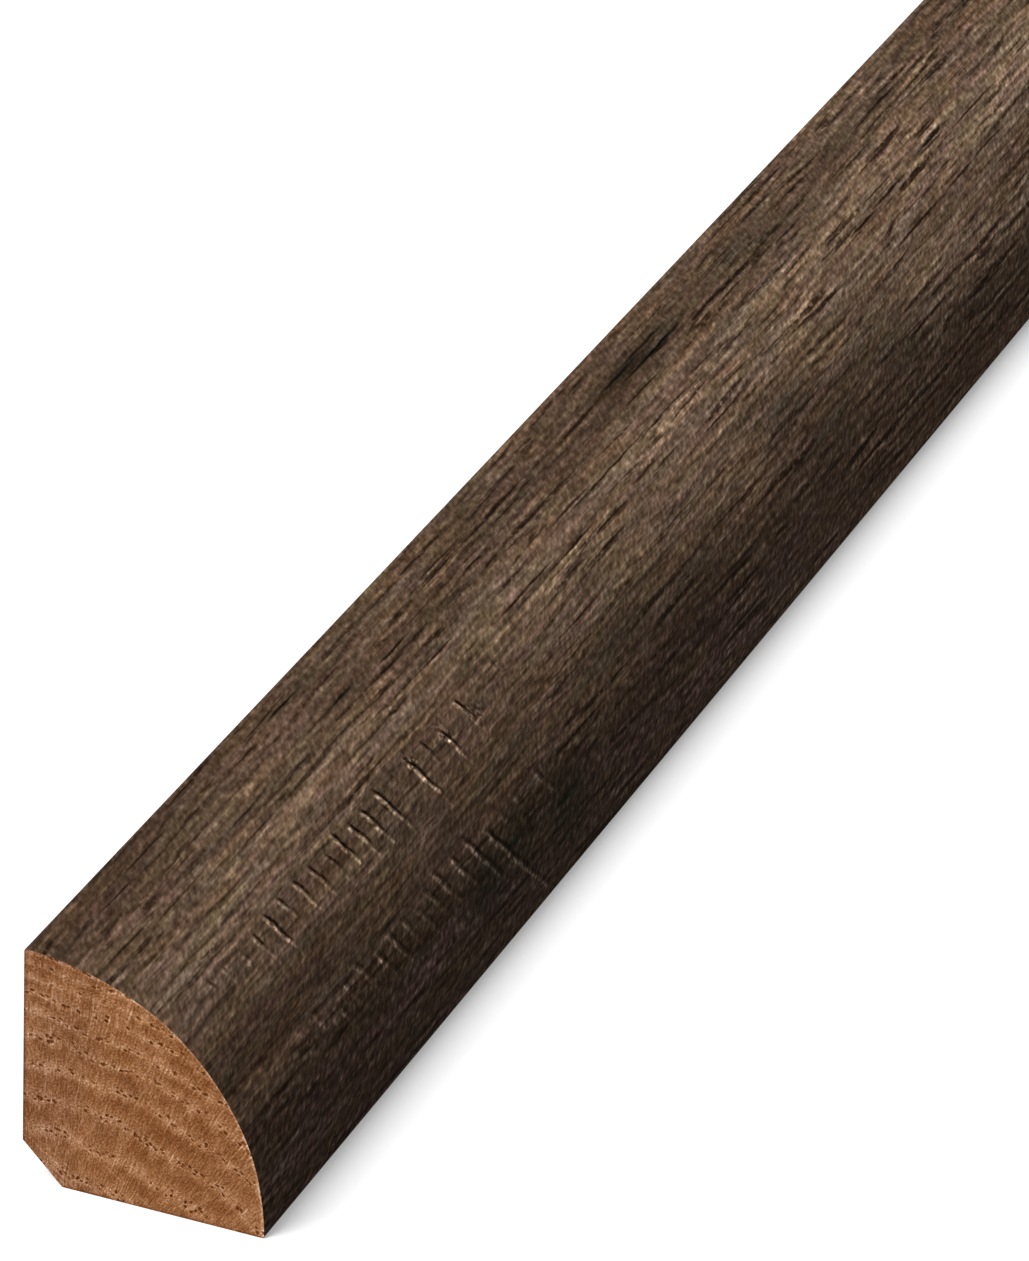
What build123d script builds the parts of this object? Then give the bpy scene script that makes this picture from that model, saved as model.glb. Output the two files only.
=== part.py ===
"""Hardwood quarter round: one length of solid oak trim for the corner between a wall and a floor.

The stock starts as a square strip. The show corner is rounded over to a quarter circle, with a narrow
land left square at each end of the curve, and the hidden back corner is bevelled off so that the strip
seats tight against a wall and a floor that don't meet cleanly.

Frame, in millimetres: +Y runs along the length, +Z up the wall and +X out into the room. The origin is
on the floor face, at the middle of the strip's width and length.
"""

import os

from build123d import *

INCH = 25.4

# Driving dimensions
LEG = 0.75 * INCH  # width along the floor, and height up the wall
LENGTH = 78 * INCH  # the length that prefinished trim is sold in
LAND = 0.5  # square edge left at the top and at the toe, where the round runs out
RELIEF = 0.125 * INCH  # each leg of the bevel on the back corner

# Worked out from the driving dimensions
ROUND_RADIUS = LEG - LAND


def section():
    """Cross-section of the strip, standing on the floor with the wall on its left."""
    with BuildSketch(Plane.XZ) as outline:
        Rectangle(LEG, LEG, align=(Align.CENTER, Align.MIN))
        show_corner = outline.vertices().sort_by_distance((LEG / 2, LEG))[0]
        fillet(show_corner, ROUND_RADIUS)
        back_corner = outline.vertices().sort_by_distance((-LEG / 2, 0))[0]
        chamfer(back_corner, RELIEF)
    return outline.sketch


def quarter_round():
    """One length of the moulding, sawn square at both ends."""
    with BuildPart() as strip:
        extrude(section(), amount=LENGTH / 2, both=True)
    return strip.part


os.makedirs("parts", exist_ok=True)
export_step(quarter_round(), "parts/quarter_round.step")
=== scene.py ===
"""Looks of the hardwood quarter round: stained, brushed and scraped oak in front, bare oak elsewhere.

Metres, in the part's own frame: +Y along the length, +Z up the wall and +X out into the room. The finishes
are drawn in millimetres, on two measures that run over the stock: along, from the near end, and around, from
the top of the round down to the toe.
"""

import math
import random

import bpy
import numpy as np
from mathutils import Matrix, Vector


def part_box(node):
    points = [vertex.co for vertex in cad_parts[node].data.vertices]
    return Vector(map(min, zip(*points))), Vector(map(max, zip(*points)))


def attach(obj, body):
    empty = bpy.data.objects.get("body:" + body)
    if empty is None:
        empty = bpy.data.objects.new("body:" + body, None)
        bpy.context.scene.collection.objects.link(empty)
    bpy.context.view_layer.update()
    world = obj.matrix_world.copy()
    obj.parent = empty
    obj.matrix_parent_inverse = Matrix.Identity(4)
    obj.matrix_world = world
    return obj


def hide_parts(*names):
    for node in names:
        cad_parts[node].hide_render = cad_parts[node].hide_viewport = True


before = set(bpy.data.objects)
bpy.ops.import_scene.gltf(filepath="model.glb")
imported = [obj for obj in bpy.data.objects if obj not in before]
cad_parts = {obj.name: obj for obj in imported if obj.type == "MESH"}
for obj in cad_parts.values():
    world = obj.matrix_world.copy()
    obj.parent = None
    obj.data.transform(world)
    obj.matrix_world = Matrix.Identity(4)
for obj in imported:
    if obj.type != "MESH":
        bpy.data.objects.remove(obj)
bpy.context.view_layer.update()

MM = 0.001
NODE = "quarter_round"
WHITE = (1.0, 1.0, 1.0, 1.0)

# The stock, from the frame
low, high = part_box(NODE)
LEG = high.x - low.x
LENGTH = high.y - low.y
LAND = 0.5 * MM
RELIEF = 3.175 * MM
ROUND_RADIUS = LEG - LAND
ROUND_CENTRE = (low.x + LAND, low.z + LAND)
EASE = 0.12 * MM  # the sanded arris at the top and at the toe

# Maps and measures that the mesh holds for its finishes
UNROLLED = "unrolled"  # along and around, in metres
BAKE_MAP = "OFBake"  # where the finishes are baked to
MARK_SHADING = "mark_shading"  # painted highlights and shade on the tool marks, from -1 dark to 1 pale
SMUDGE_AND_SHADE = "smudge_and_shade"  # how deep in a dark patch a point is: stain, and painted shade at the edge of the toe
TAN = "tan"  # how deep in a tan patch a point is: paler stain, and painted light

SEED_STEP = 17.3  # how far apart the patterns of two seeds are


class Shade:
    """A number, colour or vector that varies over a surface: one output socket of a finish's nodes."""

    def __init__(self, finish, socket):
        self.finish = finish
        self.socket = socket

    def __add__(self, other):
        return self.finish.math("ADD", self, other)

    def __radd__(self, other):
        return self.finish.math("ADD", other, self)

    def __sub__(self, other):
        return self.finish.math("SUBTRACT", self, other)

    def __rsub__(self, other):
        return self.finish.math("SUBTRACT", other, self)

    def __mul__(self, other):
        return self.finish.math("MULTIPLY", self, other)

    def __rmul__(self, other):
        return self.finish.math("MULTIPLY", other, self)

    def __truediv__(self, other):
        return self.finish.math("DIVIDE", self, other)

    def __rtruediv__(self, other):
        return self.finish.math("DIVIDE", other, self)


class Finish:
    """The nodes that draw one material, or the world."""

    def __init__(self, owner):
        owner.use_nodes = True
        self.owner = owner
        self.tree = owner.node_tree
        self.tree.nodes.clear()

    def node(self, kind, settings=None, sockets=None, output=0):
        """Adds a node: its settings first, then its sockets' values or links. Gives one of its outputs."""
        made = self.tree.nodes.new(kind)
        for name, value in (settings or {}).items():
            setattr(made, name, value)
        for key, value in (sockets or {}).items():
            if isinstance(value, Shade):
                self.tree.links.new(value.socket, made.inputs[key])
            else:
                made.inputs[key].default_value = value
        return Shade(self, made.outputs[output])

    def also(self, shade, output):
        """Another output of the node that a shade comes from."""
        return Shade(self, shade.socket.node.outputs[output])

    def math(self, operation, *terms):
        return self.node("ShaderNodeMath", {"operation": operation}, dict(enumerate(terms)))

    def vector_math(self, operation, *terms, output="Vector"):
        return self.node("ShaderNodeVectorMath", {"operation": operation}, dict(enumerate(terms)), output)

    def rise(self, value, start, end):
        """0 before start, 1 past end, smooth between; it falls where start is the larger."""
        sockets = {"Value": value, "From Min": start, "From Max": end}
        return self.node("ShaderNodeMapRange", {"interpolation_type": "SMOOTHSTEP"}, sockets)

    def zone(self, value, rising, falling):
        """1 between two slopes, each given by its start and its end as for rise."""
        return self.rise(value, *rising) * self.rise(value, *falling)

    def between(self, share, first, second):
        """The number that is this share of the way from the first to the second."""
        return share * (second - first) + first

    def point(self, x, y, z=0.0):
        return self.node("ShaderNodeCombineXYZ", None, {"X": x, "Y": y, "Z": z})

    def parts(self, vector):
        """The three numbers of a vector or a colour."""
        first = self.node("ShaderNodeSeparateXYZ", None, {"Vector": vector})
        return [self.also(first, axis) for axis in "XYZ"]

    def mix(self, share, first, second):
        """Blends two colours; share 1 is all of the second."""
        settings = {"data_type": "RGBA", "clamp_factor": True}
        return self.node("ShaderNodeMix", settings, {0: share, 6: first, 7: second}, output=2)

    def tint(self, colour, tone, pull):
        """Lightens or darkens a colour by e to the power tone; pull is each channel's share of it."""
        factors = self.point(*[self.math("EXPONENT", tone * share) for share in pull])
        return self.vector_math("MULTIPLY", colour, factors)

    def noise(self, x, y, pattern, detail=2.0, roughness=0.5):
        """Soft noise about 0; a pattern is the size of its features along x and along y, and its seed."""
        size_x, size_y, seed = pattern
        place = self.point(x / size_x + SEED_STEP * seed, y / size_y)
        sockets = {"Vector": place, "Scale": 1.0, "Detail": detail, "Roughness": roughness}
        return self.node("ShaderNodeTexNoise", {"noise_dimensions": "2D"}, sockets) - 0.5

    def cells(self, x, y, pattern):
        """The nearest of points scattered one to each cell: its distance, a random number, its place."""
        size_x, size_y, seed = pattern
        sockets = {"Vector": self.point(x / size_x + SEED_STEP * seed, y / size_y), "Scale": 1.0}
        distance = self.node("ShaderNodeTexVoronoi", {"voronoi_dimensions": "2D"}, sockets, "Distance")
        chance = self.parts(self.also(distance, "Color"))[0]
        return distance, chance, self.also(distance, "Position")

    def lines(self, x):
        """The nearest of lines scattered one to each unit: its distance and a random number."""
        sockets = {"W": x, "Scale": 1.0}
        distance = self.node("ShaderNodeTexVoronoi", {"voronoi_dimensions": "1D"}, sockets, "Distance")
        return distance, self.parts(self.also(distance, "Color"))[0]

    def held(self, name):
        """One of the mesh's own measures."""
        return self.node("ShaderNodeAttribute", {"attribute_name": name}, output="Fac")

    def seen(self):
        """1 to the eye, also in a mirror or through glass, and 0 to light that bounces."""
        rays = ("Is Camera Ray", "Is Glossy Ray", "Is Transmission Ray")
        direct, mirrored, through = [self.node("ShaderNodeLightPath", output=name) for name in rays]
        return self.math("MAXIMUM", self.math("MAXIMUM", direct, mirrored), through)

    def surface(self, colour, roughness, height, gloss):
        """Ends a material: its colour, its roughness, its relief in millimetres and an even gloss."""
        normal = self.node("ShaderNodeBump", None, {"Height": height, "Distance": MM})
        sockets = {
            "Base Color": colour,
            "Roughness": roughness,
            "Normal": normal,
            "Specular IOR Level": gloss,
        }
        return self.close("ShaderNodeOutputMaterial", self.node("ShaderNodeBsdfPrincipled", None, sockets))

    def close(self, kind, shader):
        """Links the last shader to an output node of this kind, and gives the material or the world."""
        end = self.tree.nodes.new(kind)
        self.tree.links.new(shader.socket, end.inputs["Surface"])
        return self.owner


def unrolled(finish):
    """Along and around, in millimetres."""
    along, around, _ = finish.parts(finish.node("ShaderNodeUVMap", {"uv_map": UNROLLED}))
    return along / MM, around / MM


# The show face's finish

# Patterns: length along and width around, in millimetres, and seed
WANDER = (60.0, 12.0, 3)
WAVE = (16.0, 4.0, 4)
FRAY = (2.0, 0.8, 5)
BAND = (75.0, 4.5, 11)
STREAK = (24.0, 0.9, 17)
FIBRE = (5.0, 0.5, 23)
FLECK = (1.7, 0.5, 59)
GRIT = (0.8, 0.4, 29)
GATHERING = (30.0, 2.0, 31)
BREAKS = (1.1, 0.5, 33)
VESSELS = (6.0, 0.5, 42)
SPLITS = (16.0, 0.55, 48)
CHIPPING = (0.5, 0.55, 61)
BEADS = (0.45, 0.4, 57)
WARMTH = (14.0, 1.2, 43)
YELLOWING = (11.0, 1.4, 53)
COLDNESS = (14.0, 2.6, 47)

# The lanes that the grain runs in: its slope, and how far in millimetres the patterns push it sideways
GRAIN_SLOPE = 0.006
WANDER_REACH = 0.8
WAVE_REACH = 0.45
FRAY_REACH = 0.22
GRIT_SLANT = 0.4  # the brush crossed the grain at this slope
EDGE_HIGHLIGHT_AT = 0.4  # how far the painted highlights along a furrow's edges are from its middle, in millimetres

# Levels of a pattern: where what it draws starts to show and where it is full
GATHERED = (-0.1, 0.15)
UNBROKEN = (-0.22, -0.02)
VESSEL_DEPTH = (-0.08, -0.26)
SPLIT_DEPTH = (-0.11, -0.27)
BEADED = (-0.16, 0.1)
HUE_TURN = (-0.15, 0.15)
COLD_TURN = (-0.12, 0.12)
FULL_MARK = 0.7  # how strong a tool mark is where its shade is full

# Least shares: what is left of each where its pattern or its stretch shows none of it
LOOSE_VESSELS = 0.2
FIRST_SPLITS = 0.5
BROKEN_CRACKS = 0.6
GAPS_IN_MARKS = 0.3

# Greatest shares: how much of what is below each one covers or takes off
SCRAPED_SHARE = 0.75
SHOULDER_SHARE = 0.3
TAN_SHARE = 0.8
TOE_SHADED_STAIN_SHARE = 0.85
SMUDGE_AND_SHADE_SHARE = 0.6
PATCH_EVEN = 0.8  # how strong a patch is on even grain
PATCH_UNEVEN = 2.4  # how much the streaks and fibres break it up

# Zones around the face and stretches along it, in millimetres: where each starts to show and where it is full
# The toe: a darker stain there, partly painted shade where the round turns away from the light
TOE = (17.2, 24.4)
TOE_SWAY = 4.0  # how far a grain band moves the edge of the toe and of its painted shade
FLOOR_GLOW = (26.0, 29.0)
# Painted light across the round: shade at the top, a highlight along the crest and shade over the shoulder,
# which also thins the furrows
TOP = (9.0, 3.2)
CREST = ((6.5, 8.5), (12.0, 10.0))  # of two pairs, the first is where it comes and the second where it goes
SHOULDER = ((11.0, 14.0), (20.0, 17.0))
SCRAPED = ((10.0, 11.4), (19.0, 16.5))  # where the blade took most of the furrows off
SCRAPED_TO = (66.0, 58.0)
SPLITS_GROW = (50.0, 75.0)  # where the splits get to full strength
PALE_STRETCH = ((70.0, 185.0), (420.0, 260.0))
PALE_BELOW = (7.0, 13.0)
DULL_TO = (80.0, 45.0)
DULL_ABOVE = (13.0, 11.0)
UMBER_FROM = (100.0, 140.0)

# How much each layer, mark and zone lightens or darkens the stain, as a power of e
BAND_TONE = 1.3
STREAK_TONE = 1.1
FIBRE_TONE = 1.1
FLECK_TONE = 1.1
GRIT_TONE = 1.8
TOE_GRIT_TONE = 0.9
FURROW_NOISE_TONE = 0.5
VESSEL_TONE = 1.3
SPLIT_TONE = 1.6
EDGE_HIGHLIGHT_TONE = 0.5
CRACK_TONE = 2.4
SMUDGE_AND_SHADE_TONE = 0.4
TAN_TONE = 0.22
MARK_HIGHLIGHT_TONE = 1.5
MARK_SHADE_TONE = 3.6
CHIP_TONE = 7.0
TOE_SHADE_TONE = 0.58
TOP_SHADE_TONE = 0.54
CREST_HIGHLIGHT_TONE = 0.09
SHOULDER_SHADE_TONE = 0.24
FLOOR_GLOW_TONE = 0.18
PALE_TONE = (0.16, 0.5)  # above and below
DULL_TONE = 0.09
STAIN_TONE = -0.08  # all over
TOE_CONTRAST = 0.15  # how much stronger the grain is at the toe
STAIN_PULL = (0.93, 1.0, 1.06)  # the dark grain is warmer than the light

STAIN_RED = (0.176, 0.106, 0.068, 1.0)
STAIN_GREY = (0.160, 0.107, 0.068, 1.0)
SHIFT_BLUE = (0.99, 0.99, 1.07, 1.0)
SHIFT_YELLOW = (1.01, 1.01, 0.93, 1.0)
# A paler tan: the stain's own, and painted light on the crest and low on the lit side
TAN_STAIN_AND_LIGHT = (0.217, 0.138, 0.083, 1.0)
# Darker copies of the stain for the toe: partly its own colour and partly painted shade
SHADED_STAIN_PURPLE = (0.131, 0.081, 0.066, 1.0)
SHADED_STAIN_MOSS = (0.128, 0.084, 0.055, 1.0)
SHADED_STAIN_UMBER = (0.136, 0.081, 0.053, 1.0)
# The black of the dark patches: stain, and painted shade at the edge of the toe
STAIN_AND_SHADE_BLACK = (0.032, 0.037, 0.026, 1.0)

# Relief in millimetres, and roughness: at the middle of its noise, and how much the noise changes it
FIBRE_HEIGHT = 0.12
FLECK_HEIGHT = 0.07
GRIT_HEIGHT = 0.05
STAIN_ROUGHNESS = (0.8, 0.3)

# What stands out near the photographed end: along and around at the middle, length, width and strength
CRACKS = (
    (5.5, 5.3, 9.0, 0.28, 0.6),
    (10.2, 2.1, 7.0, 0.28, 0.8),
    (16.5, 1.3, 9.0, 0.30, 0.7),
    (27.0, 5.1, 8.0, 0.30, 0.7),
    (41.0, 1.3, 8.0, 0.38, 1.0),
    (45.5, 4.4, 5.0, 0.40, 0.8),
    (54.5, 4.9, 8.0, 0.30, 1.0),
    (57.0, 7.7, 8.0, 0.32, 0.8),
    (67.5, 2.5, 8.0, 0.30, 0.8),
    (71.0, 9.5, 14.0, 0.32, 1.0),
    (80.0, 10.0, 11.0, 0.32, 1.0),
    (84.5, 7.6, 12.0, 0.32, 0.9),
    (94.0, 8.0, 14.0, 0.28, 0.9),
    (98.5, 10.8, 8.0, 0.30, 0.7),
    (105.5, 3.0, 10.0, 0.40, 1.0),
    (112.0, 2.7, 12.0, 0.40, 0.9),
    (111.0, 3.8, 15.0, 0.40, 1.0),
    (110.5, 11.8, 15.0, 0.30, 0.7),
    (125.5, 5.3, 8.0, 0.30, 0.7),
    (139.5, 5.4, 8.0, 0.30, 0.7),
    (148.0, 9.9, 8.0, 0.40, 1.0),
    (155.0, 9.7, 11.0, 0.36, 1.0),
    (154.5, 13.5, 18.0, 0.36, 1.0),
    (165.5, 13.4, 10.0, 0.32, 1.0),
    (166.0, 9.6, 8.0, 0.34, 1.0),
    (173.5, 13.3, 10.0, 0.30, 0.9),
    (176.0, 10.1, 15.0, 0.32, 0.9),
    (168.0, 3.4, 12.0, 0.40, 0.7),
    (156.0, 5.4, 14.0, 0.32, 0.7),
)
CHIPS = (
    (12.0, 12.8, 1.2, 1.8, 0.4),
    (17.0, 12.2, 1.2, 2.2, 0.5),
    (22.5, 12.4, 1.2, 2.0, 0.4),
    (30.0, 12.4, 1.4, 2.0, 0.5),
    (34.6, 12.4, 1.6, 2.4, 0.5),
    (37.2, 12.6, 1.6, 2.4, 0.6),
    (43.4, 11.8, 2.6, 2.6, 1.0),
    (49.2, 12.3, 2.8, 2.8, 1.0),
    (54.2, 12.9, 3.2, 2.2, 0.9),
    (61.0, 12.0, 2.0, 1.6, 0.4),
    (13.0, 20.6, 7.0, 3.0, 0.2),
    (18.5, 21.0, 8.0, 4.0, 0.28),
    (24.0, 21.0, 8.0, 3.6, 0.25),
    (33.0, 21.5, 7.0, 3.0, 0.2),
)
# Dark patches of stain; the long ones from 17.5 to 19.5 mm around are painted shade that makes the edge of
# the toe's shade wavy
SMUDGES_AND_SHADE = (
    (45.0, 1.2, 5.0, 1.0, 0.8),
    (56.5, 6.9, 6.0, 1.2, 0.6),
    (45.5, 4.4, 7.0, 0.8, 0.9),
    (168.5, 3.4, 10.0, 1.4, 0.8),
    (19.0, 14.8, 6.0, 1.4, 0.6),
    (37.0, 15.0, 4.0, 1.3, 0.6),
    (44.5, 23.4, 10.0, 5.0, 1.1),
    (50.5, 23.0, 10.0, 6.0, 0.9),
    (59.5, 24.0, 10.0, 8.0, 1.0),
    (80.0, 3.0, 14.0, 2.6, 0.4),
    (75.0, 17.5, 22.0, 4.0, 0.5),
    (136.0, 18.0, 24.0, 4.0, 0.4),
    (90.0, 19.5, 14.0, 3.0, 0.5),
    (109.5, 3.2, 20.0, 2.0, 1.3),
    (136.0, 4.5, 30.0, 6.0, 0.55),
    (30.0, 22.0, 30.0, 4.0, 0.3),
    (118.0, 15.6, 13.0, 3.2, 0.7),
    (124.0, 19.0, 18.0, 3.0, 0.4),
    (140.0, 20.5, 10.0, 2.4, 0.6),
    (152.0, 3.0, 20.0, 2.4, 0.5),
    (156.0, 22.5, 14.0, 2.4, 0.5),
)
# Tan patches: paler stain, and painted light along the crest and where the lit side reaches lower down the
# round
TAN_AND_LIGHT_PATCHES = (
    (6.0, 7.6, 8.0, 0.6, 0.8),
    (38.0, 7.0, 30.0, 3.0, 0.4),
    (72.0, 10.6, 22.0, 2.2, 1.0),
    (100.0, 9.2, 20.0, 1.8, 0.6),
    (88.0, 0.6, 10.0, 1.2, 0.7),
    (104.0, 16.0, 14.0, 6.0, 0.5),
    (105.0, 22.0, 20.0, 4.0, 0.5),
    (130.5, 11.1, 13.0, 1.2, 1.0),
    (150.0, 16.5, 24.0, 5.0, 0.5),
    (162.0, 7.0, 28.0, 2.6, 0.9),
    (140.0, 9.0, 22.0, 2.4, 0.45),
    (172.0, 0.8, 24.0, 1.6, 0.7),
)
CRACK_CORE = 0.2  # the share of a crack or a chip, from its middle out, that is at full strength
CHIP_CORE = 0.3


def spots(finish, along, lane, listed, core):
    """How deep in one of the listed long ovals a point is."""
    place = finish.point(along, lane)
    total = None
    for middle, level, length, width, strength in listed:
        step = finish.vector_math("SUBTRACT", place, (middle, level, 0.0))
        step = finish.vector_math("MULTIPLY", step, (2.0 / length, 2.0 / width, 0.0))
        reach = finish.vector_math("LENGTH", step, output="Value")
        mask = finish.rise(reach, 1.0, core) * strength
        total = mask if total is None else finish.math("MAXIMUM", total, mask)
    return total


def furrows(finish, along, lane, pattern, depth):
    """Dark furrows along the grain: the noise that they follow, the furrows and the painted highlights along
    their edges.
    """
    noises = [finish.noise(along, lane + shift, pattern, detail=1.0) for shift in (0.0, -EDGE_HIGHLIGHT_AT, EDGE_HIGHLIGHT_AT)]
    cut, above, below = [finish.rise(noise, *depth) for noise in noises]
    edge_highlights = finish.math("MAXIMUM", above, below) * (1 - cut)
    return noises[0], cut, edge_highlights


def furrow_tone(finish, along, around, lane, ragged, shoulder):
    """How much the vessels, splits and cracks, and the painted highlights along their edges, lighten or
    darken the stain.
    """
    gathered = finish.rise(finish.noise(along, lane, GATHERING), *GATHERED)
    broken = finish.rise(finish.noise(along, lane, BREAKS), *UNBROKEN)
    scraped = finish.zone(around, *SCRAPED) * finish.rise(along, *SCRAPED_TO)
    kept = (1 - scraped * SCRAPED_SHARE) * (1 - shoulder * SHOULDER_SHARE) * broken
    vessel_share = finish.between(gathered, LOOSE_VESSELS, 1.0) * kept
    split_share = kept * finish.between(finish.rise(along, *SPLITS_GROW), FIRST_SPLITS, 1.0)

    vein, vessel, vessel_highlights = furrows(finish, along, ragged, VESSELS, VESSEL_DEPTH)
    check, split, split_highlights = furrows(finish, along, ragged, SPLITS, SPLIT_DEPTH)
    dark = vessel * vessel_share * VESSEL_TONE + split * split_share * SPLIT_TONE
    # Painted highlights along the furrows' edges, in place of the lit edges that a relief would give
    pale = (vessel_highlights * vessel_share + split_highlights * split_share) * EDGE_HIGHLIGHT_TONE
    crack = spots(finish, along, around + (ragged - lane), CRACKS, CRACK_CORE)
    crack = crack * finish.between(broken, BROKEN_CRACKS, 1.0)
    return (vein + check) * FURROW_NOISE_TONE - dark + pale - crack * CRACK_TONE


def mark_tone(finish, along, around):
    """How much the painted highlights and shade on the tool marks' sides, and the chips beside them, lighten
    or darken the stain.
    """
    mark_shading = finish.held(MARK_SHADING)
    beads = finish.between(finish.rise(finish.noise(along, around, BEADS), *BEADED), GAPS_IN_MARKS, 1.0)
    # Pale where a mark's side carries a painted highlight, dark where it carries painted shade
    ridge = finish.rise(mark_shading, 0.0, FULL_MARK) * beads
    mark_shade = finish.rise(mark_shading, 0.0, -FULL_MARK) * beads
    rough = finish.noise(along, around, CHIPPING, detail=1.0)
    chip = spots(finish, along, around, CHIPS, CHIP_CORE) * rough
    return ridge * MARK_HIGHLIGHT_TONE - mark_shade * MARK_SHADE_TONE + chip * CHIP_TONE


def zone_tone(finish, along, around, toe, shoulder):
    """How much each zone and stretch of the face lightens or darkens the stain: painted shade at the top and
    over the shoulder, a painted highlight along the crest, a painted glow from the floor low on the round
    and, in part, painted shade at the toe.
    """
    top = finish.rise(around, *TOP)
    crest_highlight = finish.zone(around, *CREST)
    floor_glow = finish.rise(around, *FLOOR_GLOW)
    pale = finish.zone(along, *PALE_STRETCH) * finish.between(finish.rise(around, *PALE_BELOW), *PALE_TONE)
    dull = finish.rise(along, *DULL_TO) * finish.rise(around, *DULL_ABOVE)
    # Painted light: the crest's highlight, and shade at the top, over the shoulder and, in part, at the toe
    tone = crest_highlight * CREST_HIGHLIGHT_TONE - toe * TOE_SHADE_TONE - top * TOP_SHADE_TONE - shoulder * SHOULDER_SHADE_TONE
    return tone + floor_glow * FLOOR_GLOW_TONE + pale - dull * DULL_TONE + STAIN_TONE


def stain_colour(finish, along, lane, toe, smudge_and_shade, tan):
    """The stain's colour before the grain lightens or darkens it; towards the toe it turns to darker copies
    that are partly painted shade.
    """
    warm = finish.rise(finish.noise(along, lane, WARMTH), *HUE_TURN)
    yellow = finish.rise(finish.noise(along, lane, YELLOWING), *HUE_TURN)
    cold = finish.rise(finish.noise(along, lane, COLDNESS), *COLD_TURN)
    colour = finish.mix(warm, STAIN_GREY, STAIN_RED)
    colour = finish.vector_math("MULTIPLY", colour, finish.mix(yellow, SHIFT_BLUE, SHIFT_YELLOW))
    # Tan patches: paler stain and painted light
    colour = finish.mix(tan * TAN_SHARE, colour, TAN_STAIN_AND_LIGHT)
    # Towards the toe, darker copies of the stain that are partly painted shade
    deep = finish.mix(finish.rise(along, *UMBER_FROM), SHADED_STAIN_PURPLE, SHADED_STAIN_UMBER)
    colour = finish.mix(toe * TOE_SHADED_STAIN_SHARE, colour, finish.mix(cold, SHADED_STAIN_MOSS, deep))
    # Dark patches: stain, and painted shade at the edge of the toe
    return finish.mix(smudge_and_shade * SMUDGE_AND_SHADE_SHARE, colour, STAIN_AND_SHADE_BLACK)


def stained_oak():
    """The show face: dark stain on brushed oak, with grain, patches and tool marks, and painted shade and
    highlights across the round and on the marks.
    """
    finish = Finish(bpy.data.materials.new("stained_oak_show_face"))
    along, around = unrolled(finish)
    wander = finish.noise(along, around, WANDER, detail=1.0)
    wave = finish.noise(along, around, WAVE, detail=1.0)
    lane = around + along * GRAIN_SLOPE + wander * WANDER_REACH + wave * WAVE_REACH
    ragged = lane + finish.noise(along, around, FRAY) * FRAY_REACH

    band = finish.noise(along, lane, BAND, detail=1.0)
    streak = finish.noise(along, lane, STREAK)
    fibre = finish.noise(along, ragged, FIBRE, detail=1.0)
    fleck = finish.noise(along, ragged, FLECK, detail=1.0)
    grit = finish.noise(along, lane + along * GRIT_SLANT, GRIT, detail=1.0)
    # The toe: stronger grain there, and a darker stain that is partly painted shade
    toe = finish.rise(around + band * TOE_SWAY, *TOE)
    shoulder = finish.zone(around, *SHOULDER)
    uneven = PATCH_EVEN + (streak + fibre) * PATCH_UNEVEN
    smudge_and_shade = finish.held(SMUDGE_AND_SHADE) * uneven
    tan = finish.held(TAN) * uneven

    tone = band * BAND_TONE + streak * STREAK_TONE + fibre * FIBRE_TONE + fleck * FLECK_TONE
    tone = tone + grit * (GRIT_TONE + toe * TOE_GRIT_TONE)
    tone = tone + furrow_tone(finish, along, around, lane, ragged, shoulder)
    tone = tone * (1 + toe * TOE_CONTRAST) - smudge_and_shade * SMUDGE_AND_SHADE_TONE + tan * TAN_TONE
    tone = tone + mark_tone(finish, along, around) + zone_tone(finish, along, around, toe, shoulder)

    colour = stain_colour(finish, along, lane, toe, smudge_and_shade, tan)
    colour = finish.tint(colour, tone, STAIN_PULL)
    height = fibre * FIBRE_HEIGHT + fleck * FLECK_HEIGHT + grit * GRIT_HEIGHT
    roughness = STAIN_ROUGHNESS[0] + streak * STAIN_ROUGHNESS[1]
    return finish.surface(colour, roughness, height, gloss=0.02)


# The sawn ends' finish

# Rings, in millimetres from the corner of the wall and the floor
PITH = (0.0, -22.0)
FAR_SHIFT = 5.0  # how far the rings have moved sideways by the far end
FIRST_RING = 26.2
RINGS_PER_MM = 0.36
RINGS_NARROW = 6.5e-5  # how fast the rings narrow, by the fourth power of the radius past the first
ARC = 30.0  # millimetres around the rings to a radian
PORE_LEAN = 0.3  # how far the rows of pores lean from the rays
WARP_REACH = 1.6  # how far the rings and the rays waver
RAY_REACH = 0.7

# Through a ring, from 0 to 1: where each kind of wood starts to show and where it is full
LATE_WOOD = ((0.2, 0.65), (1.02, 0.75))
LATE_FRAY = (0.5, 0.3)  # how far the blocks of wood move those two slopes
EARLY_WOOD = ((0.34, 0.12), (0.9, 1.0))
PORE_ROW = (0.26, 0.2)

# Patterns: sizes across and out from the pith, or over the end and up it, in millimetres, and seed
WARP = (5.0, 5.0, 2)
CLOUD = (4.5, 4.5, 5)
BLOCKS = (0.9, 1.3, 4)
BRUSH = (0.13, 0.9, 3)
SPECKLE = (0.16, 0.16, 12)
PORES = (0.476, 0.34, 6)
CLUMPS = (1.3, 2.0, 7)
PALE_SPECKS = (0.22, 0.2, 14)
RAY_SWAY = (3.0, 5.0, 8)
RAY_BREAKS = (0.5, 2.5, 9)
SCRATCH_BREAKS = (4.0, 1.0, 10)
RAY_PITCH = 0.62
SECTOR_PITCH = 1.3
SECTOR_LENGTH = 2.6
SECTOR_STEP = 7.7  # how far apart the sectors of two rows are drawn
SCRATCH_PITCH = 0.55
SCRATCH_WAY = (0.57, 0.82)  # the way across the saw's scratches
SCRATCH_SHIFT = 3.0  # which of the scattered lines are the scratches

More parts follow.
